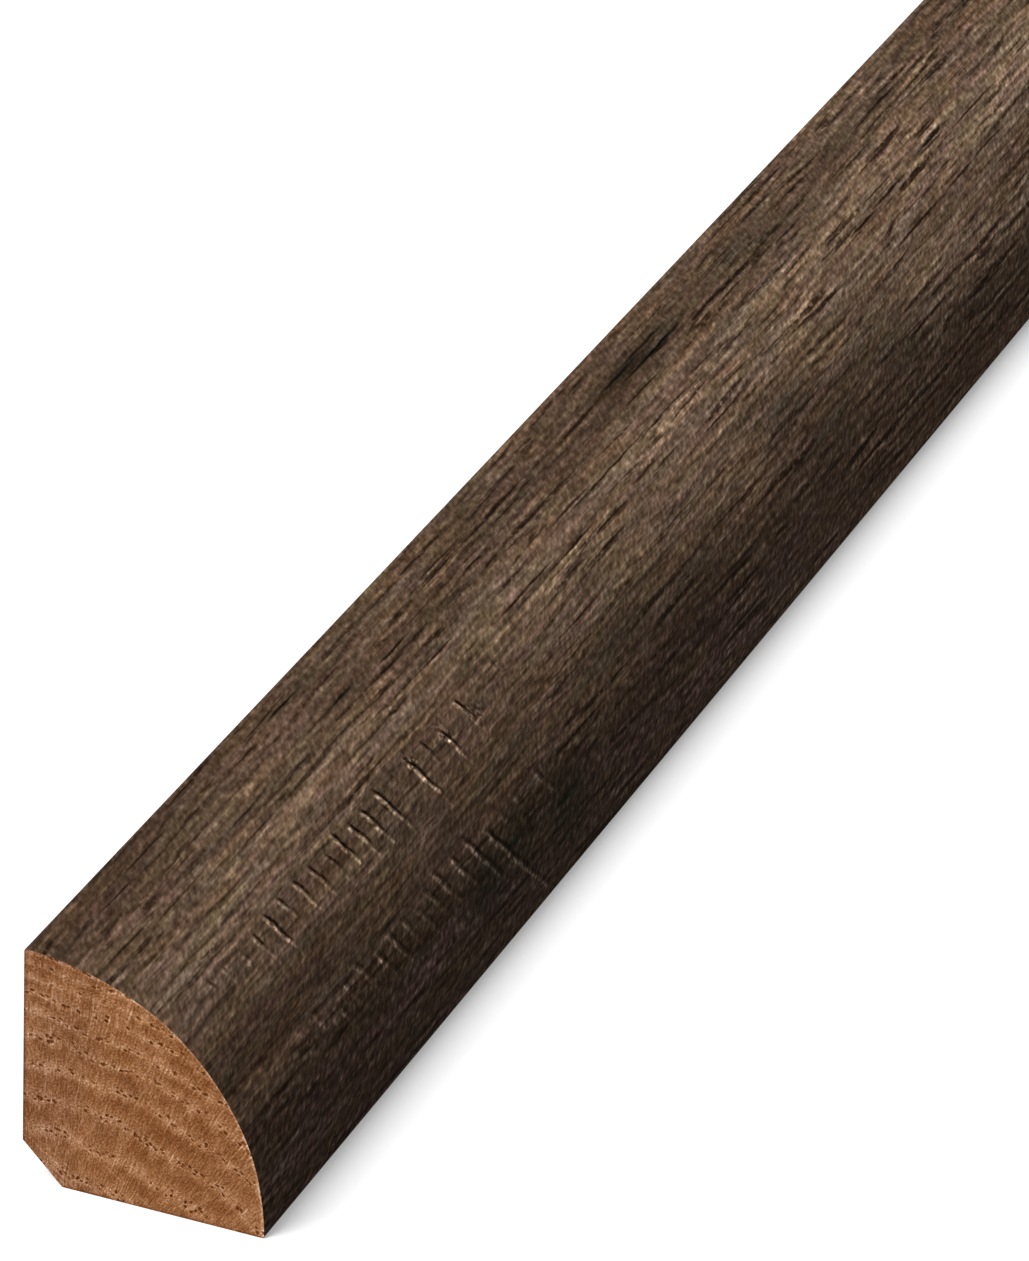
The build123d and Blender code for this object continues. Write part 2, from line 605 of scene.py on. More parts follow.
# Edges, in cells or pitches from the middle of each thing: where it starts to show and where it is full
PORE_EDGE = (0.28, 0.16)
PORE_GROWTH = 0.24  # how much wider the largest pores are
HALO_EDGE = (0.9, 0.4)
SPECK_EDGE = (0.5, 0.2)
RAY_EDGE = (0.16, 0.04)
SCRATCH_EDGE = (0.2, 0.04)

# Levels of a pattern or of a random number: where what it draws starts to show and where it is full
PORE_CHANCE = (0.05, 0.35)
CLUMPED = (-0.12, 0.03)
SPECK_CHANCE = (0.45, 0.9)
RAY_CHANCE = (0.2, 1.0)
RAY_UNBROKEN = (-0.14, 0.08)
SCRATCH_CHANCE = (0.2, 0.7)
SCRATCH_UNBROKEN = (-0.15, 0.05)

# Zones of the end, in millimetres: where each starts to show and where it is full
SCRATCHED = (7.5, 5.5)  # from the corner of the wall and the floor
# The pale rim along the round: partly bare wood and partly a painted highlight on the sawn arris
RIM = (0.34, 0.14)  # in from the round
RIM_FROM = (1.0, 8.0)  # out from the wall
FOOT = (0.25, 0.05)  # painted shade along the edges: up from the floor, or out from the wall
MAUVE = (8.0, 1.0)  # out from the wall
MAUVE_SWAY = 16.0  # how far the clouds move its edge

# How much each layer and zone lightens or darkens the bare wood, as a power of e
BRUSH_TONE = 1.9
SPECKLE_TONE = 2.4
BLOCK_TONE = 1.1
CLOUD_TONE = 0.8
EARLY_TONE = 0.19
HALO_TONE = 0.2
SPECK_TONE = 0.22
RAY_TONE = 0.3
SCRATCH_TONE = 0.45
LATE_TONE = 0.1
SECTOR_TONE = 0.34
PORE_TONE = 1.7
RIM_WOOD_AND_HIGHLIGHT_TONE = 0.7
FOOT_SHADE_TONE = 0.6

# Relief in millimetres, and roughness: at the middle of its noise, and how much the noise changes it
BRUSH_HEIGHT = 0.03
SPECKLE_HEIGHT = 0.04
PORE_DEPTH = 0.05
SPECK_HEIGHT = 0.02
RAY_HEIGHT = 0.02
END_ROUGHNESS = (0.8, 0.2)

END_PULL = (0.67, 0.97, 1.36)
END_OAK = (0.424, 0.179, 0.071, 1.0)
END_MAUVE = (0.412, 0.184, 0.085, 1.0)


def ring_phase(finish, radius):
    """How far through its growth ring a radius is, from 0 to 1; the rings narrow towards the bark."""
    grown = radius - FIRST_RING
    older = finish.math("POWER", finish.math("MAXIMUM", grown, 0.0), 4.0)
    return finish.math("FRACT", grown * RINGS_PER_MM + older * RINGS_NARROW)


def end_pores(finish, angle, radius):
    """The rows of pores, and the pale wood round them."""
    distance, chance, seat = finish.cells(angle + radius * PORE_LEAN, radius, PORES)
    seat_phase = ring_phase(finish, finish.parts(seat)[1] * PORES[1])
    clump = finish.rise(finish.noise(angle, radius, CLUMPS), *CLUMPED)
    in_row = finish.rise(seat_phase, *PORE_ROW) * clump * finish.rise(chance, *PORE_CHANCE)
    pore = finish.rise(distance, PORE_EDGE[0] + chance * PORE_GROWTH, PORE_EDGE[1]) * in_row
    halo = finish.rise(distance, *HALO_EDGE) * in_row
    return pore, halo


def end_rays(finish, angle, radius):
    """The pale rays across the rings, and a random number for each block of wood between two of them."""
    swayed = angle + finish.noise(radius, angle, RAY_SWAY) * RAY_REACH
    distance, power = finish.lines(swayed / RAY_PITCH)
    unbroken = finish.rise(finish.noise(angle, radius, RAY_BREAKS), *RAY_UNBROKEN)
    ray = finish.rise(distance, *RAY_EDGE) * finish.rise(power, *RAY_CHANCE) * unbroken
    row = finish.math("FLOOR", radius / SECTOR_LENGTH)
    _, sector = finish.lines(swayed / SECTOR_PITCH + row * SECTOR_STEP)
    return ray, sector


def saw_scratches(finish, x, z):
    """Pale scratches of the saw near the bevel."""
    across = x * SCRATCH_WAY[0] + z * SCRATCH_WAY[1]
    beside = x * SCRATCH_WAY[1] - z * SCRATCH_WAY[0]
    distance, bite = finish.lines(across / SCRATCH_PITCH + SCRATCH_SHIFT)
    unbroken = finish.rise(finish.noise(beside, across, SCRATCH_BREAKS), *SCRATCH_UNBROKEN)
    scratch = finish.rise(distance, *SCRATCH_EDGE) * finish.rise(bite, *SCRATCH_CHANCE) * unbroken
    return scratch * finish.rise(across, *SCRATCHED)


def end_grain():
    """The sawn ends: growth rings with rows of pores, rays across them, and a pale rim along the round,
    partly bare wood under the stain and partly a painted highlight on the arris.
    """
    finish = Finish(bpy.data.materials.new("bare_oak_end_grain"))
    x, y, z = finish.parts(finish.node("ShaderNodeTexCoord", output="Object"))
    x = (x - low.x) / MM
    z = (z - low.z) / MM
    far = (y - low.y) / LENGTH * FAR_SHIFT

    out_x = x - PITH[0] + far
    out_z = z - PITH[1]
    warp = finish.noise(x + far * WARP[0], z, WARP)
    radius = finish.math("SQRT", out_x * out_x + out_z * out_z) + warp * WARP_REACH
    angle = finish.math("ARCTAN2", out_x, out_z) * ARC
    phase = ring_phase(finish, radius)

    blocks = finish.noise(angle, radius, BLOCKS)
    late = finish.rise(phase + blocks * LATE_FRAY[0], *LATE_WOOD[0])
    late = late * finish.rise(phase + blocks * LATE_FRAY[1], *LATE_WOOD[1])
    early = finish.rise(phase, *EARLY_WOOD[0]) + finish.rise(phase, *EARLY_WOOD[1])
    brush = finish.noise(angle, radius, BRUSH, roughness=0.6)
    speckle = finish.noise(angle, radius, SPECKLE, roughness=0.6)
    cloud = finish.noise(x + far * CLOUD[0], z, CLOUD)
    pore, halo = end_pores(finish, angle, radius)
    ray, sector = end_rays(finish, angle, radius)
    distance, paleness, _ = finish.cells(angle, radius, PALE_SPECKS)
    speck = finish.rise(distance, *SPECK_EDGE) * finish.rise(paleness, *SPECK_CHANCE) * early
    scratch = saw_scratches(finish, x, z)

    tone = brush * BRUSH_TONE + speckle * SPECKLE_TONE + blocks * BLOCK_TONE + cloud * CLOUD_TONE
    tone = tone + early * EARLY_TONE + halo * HALO_TONE + speck * SPECK_TONE
    tone = tone + ray * RAY_TONE + scratch * SCRATCH_TONE
    tone = tone - late * (LATE_TONE + sector * SECTOR_TONE) - pore * PORE_TONE

    corner_x = x - LAND / MM
    corner_z = z - LAND / MM
    inset = ROUND_RADIUS / MM - finish.math("SQRT", corner_x * corner_x + corner_z * corner_z)
    # Pale rim along the round, partly a painted highlight on the arris
    rim = finish.rise(inset, *RIM) * finish.rise(x, *RIM_FROM)
    # Painted shade along the end's edges at the floor and at the wall face
    foot = finish.rise(finish.math("MINIMUM", x, z), *FOOT)
    mauve = finish.rise(x + cloud * MAUVE_SWAY, *MAUVE)
    colour = finish.mix(mauve, END_OAK, END_MAUVE)
    colour = finish.tint(colour, tone + rim * RIM_WOOD_AND_HIGHLIGHT_TONE - foot * FOOT_SHADE_TONE, END_PULL)

    height = brush * BRUSH_HEIGHT + speckle * SPECKLE_HEIGHT - pore * PORE_DEPTH
    height = height + speck * SPECK_HEIGHT + ray * RAY_HEIGHT
    roughness = END_ROUGHNESS[0] + speckle * END_ROUGHNESS[1]
    return finish.surface(colour, roughness, height, gloss=0.03)


# The hidden faces' finish

# Patterns: length along and width around, in millimetres, and seed
BACK_WANDER = (60.0, 14.0, 53)
BACK_BAND = (110.0, 2.2, 59)
BACK_FIBRE = (5.0, 0.22, 61)
BACK_PORES = (3.12, 0.208, 67)
OVERRUN = (9.0, 5.0, 71)
KNIFE_RATE = 2.4  # radians of the planer's ripple to a millimetre
BACK_WANDER_REACH = 3.0
OVERRUN_REACH = 1.6

# Levels and zones: where each starts to show and where it is full
BACK_PALE = (-0.15, 0.2)
BACK_PORE_EDGE = (0.46, 0.24)
BACK_PORE_CHANCE = (0.5, 0.8)
BACK_PORE_BANDS = (-0.1, 0.1)
WALL_SIDE = (3.0, 1.0)  # around, which of the two edges the stain ran over from
TOP_OVERRUN = (-2.0, -0.8)
TOE_OVERRUN = (30.8, 29.7)
OVERRUN_SHARE = 0.85

# Powers of e, relief in millimetres, and roughness: at the middle of its noise, and how much that changes it
BACK_FIBRE_TONE = 1.3
BACK_PORE_TONE = 0.8
BACK_FIBRE_HEIGHT = 0.03
BACK_PORE_DEPTH = 0.06
KNIFE_HEIGHT = 0.006  # either way
BACK_ROUGHNESS = (0.7, 0.3)

BACK_OAK = (0.46, 0.29, 0.155, 1.0)
BACK_DARK = (0.30, 0.17, 0.085, 1.0)
STAIN = (0.168, 0.106, 0.068, 1.0)


def bare_oak():
    """The wall face, the floor face and the bevel: planed oak, with stain only where it ran over."""
    finish = Finish(bpy.data.materials.new("bare_oak_back"))
    along, around = unrolled(finish)
    lane = around + finish.noise(along, around, BACK_WANDER, detail=1.0) * BACK_WANDER_REACH
    band = finish.noise(along, lane, BACK_BAND)
    fibre = finish.noise(along, lane, BACK_FIBRE)
    distance, chance, _ = finish.cells(along, lane, BACK_PORES)
    pore = finish.rise(distance, *BACK_PORE_EDGE) * finish.rise(chance, *BACK_PORE_CHANCE)
    pore = pore * finish.rise(band, *BACK_PORE_BANDS)
    knife = finish.math("SINE", along * KNIFE_RATE)

    colour = finish.mix(finish.rise(band, *BACK_PALE), BACK_DARK, BACK_OAK)
    colour = finish.tint(colour, fibre * BACK_FIBRE_TONE - pore * BACK_PORE_TONE, END_PULL)
    edge = around + finish.noise(along, lane, OVERRUN) * OVERRUN_REACH
    on_wall = finish.rise(around, *WALL_SIDE)
    stain = finish.rise(edge, *TOP_OVERRUN) * on_wall + finish.rise(edge, *TOE_OVERRUN) * (1 - on_wall)
    colour = finish.mix(stain * OVERRUN_SHARE, colour, STAIN)

    height = fibre * BACK_FIBRE_HEIGHT - pore * BACK_PORE_DEPTH + knife * KNIFE_HEIGHT
    roughness = BACK_ROUGHNESS[0] + fibre * BACK_ROUGHNESS[1]
    return finish.surface(colour, roughness, height, gloss=0.2)


# The tool marks on the show face, in millimetres

MARK_PITCH = 2.62
MARK_TOP = 10.8  # around, where the sweep of a mark starts
MARK_BEND = 0.034  # how fast a mark leans towards the far end as it goes down
MARK_HEIGHT = 0.12
MARK_WIDTH = 0.28  # half the width of the ridge that a blade threw up
MARK_SHAKE = (0.08, 2.6)  # how far a mark wavers, and its radians to a millimetre
MARK_BEADS = (0.2, 4.3)  # how much a mark swells and thins, and its radians to a millimetre
LIT_AT = -0.19  # the ridge's near side, with its painted highlight, and its far side, with its painted shade
SHADED_AT = 0.23
SIDE_WIDTH = 0.21
# Strengths of the painted highlight on a nick's near side and of the painted shade on its far side
LIT_SIDE_HIGHLIGHT = 1.4
SHADED_SIDE_SHADE = 1.8
NICK_START = (-0.1, 0.7)  # how far from the top of its sweep a nick starts, by chance
NICK_TAIL = 1.2  # how far a nick fades out past its end
SHADED_TAIL = 2.2  # over what length its painted shade fades before its end
SCRATCH_TOP = 18.7  # around, where the lower half of a sweep shows again
SCRATCH_START = (-0.4, 1.2)  # how far from there a scratch starts, by chance
SCRATCH_WIDTH = 0.28
# A scratch: a painted glint down its middle and painted shade on its far side
SCRATCH_GLINT = 1.44
SCRATCH_SHADE_SIDE = 0.72
SCRATCH_SHADE_AT = 0.6
SCRATCH_SHADE_WIDTH = 0.34
SCRATCH_HEIGHT = 0.4  # as a share of a nick's
SWELL_RATE = 6.0  # how fast a mark gets to full strength, and by what power it fades out
SWELL_FADE = 0.6
# Each mark near the photographed end: along, then strength and end of its nick and of its scratch
MARKS = (
    (6.9, 0.30, 13.6, 0.2, 21.5),
    (9.2, 0.35, 13.4, 0.35, 22.0),
    (11.9, 0.40, 13.7, 0.45, 22.5),
    (14.4, 0.55, 14.0, 0.6, 23.0),
    (17.0, 1.00, 14.8, 0.5, 22.5),
    (19.7, 0.55, 13.8, 0.6, 23.0),
    (22.4, 0.85, 13.8, 0.7, 23.2),
    (25.0, 0.60, 14.4, 0.9, 23.4),
    (27.5, 0.45, 14.4, 0.5, 23.0),
    (29.8, 0.95, 14.2, 0.6, 23.6),
    (32.2, 0.95, 14.3, 0.6, 23.0),
    (34.5, 0.95, 14.6, 0.7, 23.6),
    (37.4, 1.00, 15.2, 0.8, 23.4),
    (40.3, 0.15, 12.8, 1.0, 25.6),
    (43.1, 1.10, 15.6, 1.3, 31.0),
    (46.0, 0.40, 14.4, 0.4, 24.5),
    (48.9, 1.10, 14.6, 0.4, 23.5),
    (53.2, 0.75, 13.9, 0.5, 27.5),
    (60.3, 0.35, 12.4, 0.0, 20.0),
)

# Stretches of the length with tool marks: from, to and the step between the mesh's rings
MARKED = ((4.0, 66.0, 0.14), (640.0, 672.0, 0.4), (1180.0, 1214.0, 0.4), (1702.0, 1735.0, 0.4))
# The marks of the stretches after the first: room before and after them, and what chance gives each
FAR_MARGINS = (4.0, 8.0)
FAR_NICK = (0.1, 1.0)
FAR_SCRATCH = (0.0, 0.9)
FAR_STRAY = (-0.4, 0.4)
FAR_NICK_END = (13.0, 1.8)  # at no strength, and how much further at full strength
FAR_SCRATCH_END = (20.0, 4.0)
FAR_SIDE_WIDTH = 0.75  # in steps of the mesh
MARK_MIDDLE = 4.0  # from where a mark starts, along, to the middle of the stretch that it can reach
MARK_REACH = 10.0
MARK_SEED = 7


def hump(value, middle, width):
    """1 at the middle, falling to 0 on both sides."""
    return np.exp(-((value - middle) / width) ** 2)


def swell(value, first, last):
    """0 at first, full a little after it and fading out to last."""
    share = np.clip((value - first) / (last - first), 0, 1)
    return np.minimum(share * SWELL_RATE, 1) * (1 - share) ** SWELL_FADE


def waver(value, reach, rate, chance):
    """A wave of this reach either way, from a phase that chance gives."""
    return reach * np.sin(value * rate + chance.uniform(0, 6))


def one_mark(along, around, mark, side_width, chance):
    """A curved nick and the scratch that goes on from it: their painted highlights and shade, and how high.
    """
    place, upper, upper_end, lower, lower_end = mark
    sweep = np.maximum(around - MARK_TOP, 0)
    off = along - place - MARK_BEND * sweep ** 2 - waver(around, *MARK_SHAKE, chance)
    nick = upper * swell(around, MARK_TOP + chance.uniform(*NICK_START), upper_end + NICK_TAIL)
    scratch = lower * swell(around, SCRATCH_TOP + chance.uniform(*SCRATCH_START), lower_end)
    beads = 1 - MARK_BEADS[0] + waver(around, *MARK_BEADS, chance)

    shaded_share = np.clip((upper_end - around) / SHADED_TAIL, 0, 1)
    # Painted highlight on the near side and painted shade on the far side, as if lit from the near end
    nick_shade = LIT_SIDE_HIGHLIGHT * hump(off, LIT_AT, side_width)
    nick_shade = nick_shade - SHADED_SIDE_SHADE * hump(off, SHADED_AT, side_width) * shaded_share
    scratch_shade = SCRATCH_GLINT * hump(off, 0.0, SCRATCH_WIDTH)
    scratch_shade = scratch_shade - SCRATCH_SHADE_SIDE * hump(off, SCRATCH_SHADE_AT, SCRATCH_SHADE_WIDTH)
    shade = beads * (nick * nick_shade + scratch * scratch_shade)
    height = beads * (nick + SCRATCH_HEIGHT * scratch) * hump(off, 0.0, MARK_WIDTH)
    return shade, height


def far_marks(chance):
    """The marks of the stretches after the first, each with the width of its sides."""
    marks = []
    for start, stop, step in MARKED[1:]:
        for place in np.arange(start + FAR_MARGINS[0], stop - FAR_MARGINS[1], MARK_PITCH):
            upper = chance.uniform(*FAR_NICK)
            lower = chance.uniform(*FAR_SCRATCH)
            place += chance.uniform(*FAR_STRAY)
            upper_end = FAR_NICK_END[0] + FAR_NICK_END[1] * upper
            lower_end = FAR_SCRATCH_END[0] + FAR_SCRATCH_END[1] * lower
            marks.append(((place, upper, upper_end, lower, lower_end), step * FAR_SIDE_WIDTH))
    return marks


def tool_marks(along, around):
    """The tool marks at each point of the mesh: their painted highlights and shade, from -1, dark, to 1,
    pale, and their height.
    """
    chance = random.Random(MARK_SEED)
    shade = np.zeros_like(along)
    height = np.zeros_like(along)
    for mark, side_width in [(mark, SIDE_WIDTH) for mark in MARKS] + far_marks(chance):
        near = np.abs(along[:, 0] - mark[0] - MARK_MIDDLE) < MARK_REACH
        one_shade, one_height = one_mark(along[near], around[near], mark, side_width, chance)
        shade[near] += one_shade
        height[near] += one_height
    return np.clip(shade, -1, 1), np.clip(height, 0, 1)


# The stock's mesh

SHOW, END, BACK = range(3)  # the finishes, in the order of the stock's material slots
ROUND_STEPS = 84
EASE_STEPS = 2
WALL_STEPS = 3
FLOOR_STEPS = 3
CAP_LOOPS = (0.97, 0.75, 0.45, 0.2)  # loops of a sawn end, as shares of the way from its heart to its edge
HEART = 0.42  # the middle of an end, as a share of the leg
SHARP = 40.0  # degrees between two faces, past which their edge is sharp

SEEN_TO = 200.0  # the end of the photographed stretch, in millimetres along
SEEN_STEP = 2.0
PLAIN_STEP = 8.0

# Patches past the photographed stretch
PATCH_SEED = 19
FAR_SMUDGES = 140
FAR_TAN_PATCHES = 90
FAR_LEVELS = (0.5, 27.0)  # around
PATCH_REACH = 1.3  # how far out a patch reaches, as a share of its listed size

# What scraping and brushing took off the face, in millimetres
HOLLOW = 0.12
HOLLOW_ZONE = (3.0, 26.0)  # around
HOLLOW_FADE = 3.0
HOLLOW_CHANGE = 0.5  # how much its waves deepen and fill it
HOLLOW_WAVES = (11.0, 29.0)  # millimetres along to a radian of the short and of the long waves
HOLLOW_SLANT = 5.0  # millimetres around to a radian of the long waves
HOLLOW_CURL = (1.3, 3.1)  # radians that the short waves bend, and millimetres around to a radian of that

# The map that the finishes are baked to, in its pixels: the photographed stretch has the tallest row
BAKE_SIZE = 1024.0
BAKE_GAP = 6.0
SEEN_ROW_TALL = 260.0
FAR_ROWS = 3
FAR_ROW_TALL = 122.0
BACK_ROWS = 2
BACK_ROW_TALL = 72.0
CAP_TALL = 190.0


def straight(start, end, steps):
    """Points from start up to, not with, end."""
    share = np.arange(steps)[:, None] / steps
    return np.array(start) * (1 - share) + np.array(end) * share


def arc(centre, radius, start, end, steps):
    """Points on an arc, in radians, from start up to, not with, end."""
    turn = start + (end - start) * np.arange(steps) / steps
    return np.stack([centre[0] + radius * np.cos(turn), centre[1] + radius * np.sin(turn)], 1)


def section():
    """Outline of the stock from the bevel up the wall face, over the round and back along the floor.

    Gives its points as x and z, the finish of the side after each point, and the measure around at each
    point, in millimetres.
    """
    left, right, foot, top = low.x, high.x, low.z, high.z
    quarter = math.pi / 2
    sides = [
        (BACK, straight((left, foot + RELIEF), (left, top - EASE), WALL_STEPS)),
        (SHOW, arc((left + EASE, top - EASE), EASE, math.pi, quarter, EASE_STEPS)),
        (SHOW, straight((left + EASE, top), (left + LAND, top), 1)),
        (SHOW, arc(ROUND_CENTRE, ROUND_RADIUS, quarter, 0.0, ROUND_STEPS)),
        (SHOW, straight((right, foot + LAND), (right, foot + EASE), 1)),
        (SHOW, arc((right - EASE, foot + EASE), EASE, 0.0, -quarter, EASE_STEPS)),
        (BACK, straight((right - EASE, foot), (left + RELIEF, foot), FLOOR_STEPS)),
        (BACK, straight((left + RELIEF, foot), (left, foot + RELIEF), 1)),
    ]
    points = np.concatenate([p for _, p in sides])
    finishes = np.concatenate([np.full(len(p), finish) for finish, p in sides])
    runs = np.linalg.norm(np.roll(points, -1, 0) - points, axis=1)
    around = np.concatenate([[0.0], np.cumsum(runs)])
    before_round = sum(len(p) for _, p in sides[:3])
    return points, finishes, (around - around[before_round]) / MM


def stations():
    """Where the mesh has its rings, in millimetres along: close together on the tool marks."""
    end = LENGTH / MM
    stops = [0.0, *np.linspace(0.0, end, BACK_ROWS + 1), *np.linspace(SEEN_TO, end, FAR_ROWS + 1)]
    places = set()
    for start, stop, step in MARKED:
        stops += [start, stop]
        places.update(np.linspace(start, stop, round((stop - start) / step) + 1).round(4))
    stops = sorted(set(stops))
    marked = {start for start, _, _ in MARKED}
    for start, stop in zip(stops, stops[1:]):
        if start not in marked:
            step = SEEN_STEP if stop <= SEEN_TO else PLAIN_STEP
            places.update(np.linspace(start, stop, math.ceil((stop - start) / step) + 1).round(4))
    return np.array(sorted(places))


def patches(along, around, listed, more, chance):
    """How deep each point is in one of the listed ovals, or of more like them on the rest of the length."""
    listed = list(listed)
    for _ in range(more):
        _, _, length, width, strength = chance.choice(listed)
        place = chance.uniform(SEEN_TO, LENGTH / MM)
        listed.append((place, chance.uniform(*FAR_LEVELS), length, width, strength))
    total = np.zeros_like(along)
    for middle, level, length, width, strength in listed:
        near = np.abs(along[:, 0] - middle) < length
        reach = np.hypot((along[near] - middle) * 2.0 / length, (around[near] - level) * 2.0 / width)
        total[near] = np.maximum(total[near], strength * np.clip(PATCH_REACH - reach, 0, 1))
    return total


def window(value, start, end, fade):
    """1 between start and end, falling to 0 over fade outside them."""
    rise = np.clip((value - start) / fade + 1, 0, 1)
    fall = np.clip((end - value) / fade + 1, 0, 1)
    return np.minimum(rise, fall)


def face_relief(along, around, ridge):
    """How far the show face stands below the true round, in millimetres."""
    curl = HOLLOW_CURL[0] * np.sin(around / HOLLOW_CURL[1])
    short_wave = np.sin(along / HOLLOW_WAVES[0] + curl)
    long_wave = np.sin(along / HOLLOW_WAVES[1] + around / HOLLOW_SLANT)
    hollow = HOLLOW * (1 + HOLLOW_CHANGE * short_wave * long_wave)
    hollow = hollow * window(around, *HOLLOW_ZONE, HOLLOW_FADE)
    return np.maximum(hollow - MARK_HEIGHT * ridge, 0)


def corner_measures(along, around):
    """Along and around, in millimetres, at the four corners of each side of each ring."""
    near, far = along[:-1, None], along[1:, None]
    first, last = around[None, :-1], around[None, 1:]
    corners = ((near, first), (near, last), (far, last), (far, first))
    return np.stack([np.stack(np.broadcast_arrays(*corner), 2) for corner in corners], 2)


def bake_rows(measures, finishes):
    """Where the sides of the mesh lie on the bake map, in rows, and the level above the last row."""
    end = LENGTH / MM
    far = np.linspace(SEEN_TO, end, FAR_ROWS + 1)
    back = np.linspace(0.0, end, BACK_ROWS + 1)
    rows = [(SHOW, 0.0, SEEN_TO, SEEN_ROW_TALL)]
    rows += [(SHOW, start, stop, FAR_ROW_TALL) for start, stop in zip(far, far[1:])]
    rows += [(BACK, start, stop, BACK_ROW_TALL) for start, stop in zip(back, back[1:])]

    # The wall face follows the bevel, so that the back is one strip from the toe to the top
    perimeter = measures[0, -1, 1, 1] - measures[0, 0, 0, 1]
    turned = measures[..., 1].copy()
    turned[:, :WALL_STEPS] += perimeter
    middle = measures[..., 0].mean(2)
    places = np.zeros_like(measures)
    level = BAKE_GAP
    for finish, start, stop, tall in rows:
        strip = turned[:, finishes == finish]
        inside = (finishes == finish) & (middle > start) & (middle < stop)
        share = (measures[inside][..., 0] - start) / (stop - start)
        height = (turned[inside] - strip.min()) / (strip.max() - strip.min())
        places[inside, :, 0] = BAKE_GAP + share * (BAKE_SIZE - 2 * BAKE_GAP)
        places[inside, :, 1] = level + height * tall
        level += tall + BAKE_GAP
    return places / BAKE_SIZE, level / BAKE_SIZE


def side_faces(rings, sides):
    """Faces between the rings of the mesh, each by the numbers of its four points."""
    ring = np.arange(rings - 1)[:, None] * sides
    side = np.arange(sides)[None, :]
    after = (side + 1) % sides
    corners = [ring + side, ring + after, ring + sides + after, ring + sides + side]
    return np.stack(corners, 2).reshape(-1, 4).tolist()


def end_faces(edge, first_new, far_end):
    """Faces of a sawn end: loops from its edge, given by number, in to its heart, whose points are new."""
    sides = len(edge)
    loops = [edge] + [first_new + sides * k + np.arange(sides) for k in range(len(CAP_LOOPS))]
    heart = np.full(sides, first_new + sides * len(CAP_LOOPS))
    faces = [np.stack([a, np.roll(a, -1), np.roll(b, -1), b], 1) for a, b in zip(loops, loops[1:])]
    faces.append(np.stack([loops[-1], np.roll(loops[-1], -1), heart], 1))
    turn = 1 if far_end else -1
    return [face[::turn] for group in faces for face in group.tolist()]


def stock_object(vertices, faces, kinds, maps, measures):
    """The stock as an object, with its maps at each face's corners and its measures at its first points."""
    mesh = bpy.data.meshes.new("quarter_round_stock")
    mesh.from_pydata(vertices.tolist(), [], faces)
    mesh.polygons.foreach_set("material_index", kinds)
    mesh.polygons.foreach_set("use_smooth", [True] * len(faces))
    for name, places in maps.items():
        mesh.uv_layers.new(name=name).uv.foreach_set("vector", places.astype(np.float32).ravel())
    for name, measure in measures.items():
        values = np.zeros(len(vertices), np.float32)
        values[:measure.size] = measure.ravel()
        mesh.attributes.new(name, "FLOAT", "POINT").data.foreach_set("value", values)
    mesh.set_sharp_from_angle(angle=math.radians(SHARP))
    mesh.update()
    stock = bpy.data.objects.new("quarter_round_stock", mesh)
    bpy.context.collection.objects.link(stock)
    return stock


def quarter_round_stock():
    """The whole length as one closed mesh, ends included."""
    points, finishes, around = section()
    along = stations()
    rings, sides = len(along), len(points)
    grid_along, grid_around = np.meshgrid(along, around[:-1], indexing="ij")
    mark_shading, ridge = tool_marks(grid_along, grid_around)
    chance = random.Random(PATCH_SEED)
    smudge_and_shade = patches(grid_along, grid_around, SMUDGES_AND_SHADE, FAR_SMUDGES, chance)
    tan = patches(grid_along, grid_around, TAN_AND_LIGHT_PATCHES, FAR_TAN_PATCHES, chance)

    outward = (points - np.array(ROUND_CENTRE)) / ROUND_RADIUS
    on_round = np.abs(np.linalg.norm(outward, axis=1) - 1.0) < 1e-6
    sink = face_relief(grid_along, grid_around, ridge) * MM * on_round
    flat = points - outward * sink[:, :, None]
    vertices = np.stack([flat[:, :, 0], low.y + grid_along * MM, flat[:, :, 1]], 2).reshape(-1, 3)

    measures = corner_measures(along, around)
    places, level = bake_rows(measures, finishes)
    unrolled_map = (measures * MM).reshape(-1, 2)
    bake_map = places.reshape(-1, 2)
    faces = side_faces(rings, sides)
    kinds = np.tile(finishes, rings - 1).tolist()

    corner = np.array((low.x, low.z))
    heart = corner + HEART * LEG
    for number, (first, y) in enumerate(((0, low.y), ((rings - 1) * sides, high.y))):
        edge = np.arange(first, first + sides)
        outline = vertices[edge][:, [0, 2]]
        inner = np.concatenate([heart + (outline - heart) * share for share in CAP_LOOPS] + [heart[None, :]])
        cap = end_faces(edge, len(vertices), far_end=number == 1)
        vertices = np.concatenate([vertices, np.insert(inner, 1, y, axis=1)])
        faces += cap
        kinds += [END] * len(cap)
        cap_flat = np.concatenate([vertices[face][:, [0, 2]] for face in cap])
        cap_left = (BAKE_GAP + number * (CAP_TALL + BAKE_GAP)) / BAKE_SIZE
        cap_places = np.array((cap_left, level)) + (cap_flat - corner) / LEG * CAP_TALL / BAKE_SIZE
        unrolled_map = np.concatenate([unrolled_map, cap_flat])
        bake_map = np.concatenate([bake_map, cap_places])

    maps = {UNROLLED: unrolled_map, BAKE_MAP: bake_map}
    return stock_object(vertices, faces, kinds, maps, {MARK_SHADING: mark_shading * on_round, SMUDGE_AND_SHADE: smudge_and_shade, TAN: tan})


# The studio and the camera

FLOOR_REACH = 30.0
FLOOR_DROP = 0.02 * MM  # the floor lies this far below the stock, so that their faces don't fight
FLOOR_PALE = (0.8, 0.8, 0.8, 1.0)
FLOOR_DIM = (0.2, 0.2, 0.2, 1.0)
FLOOR_LIFT = 0.3
KEY_STRENGTH = 3.5
KEY_SPREAD = 30.0  # degrees
KEY_FROM = (-0.36, -0.47, 0.81)
FILL = 0.2

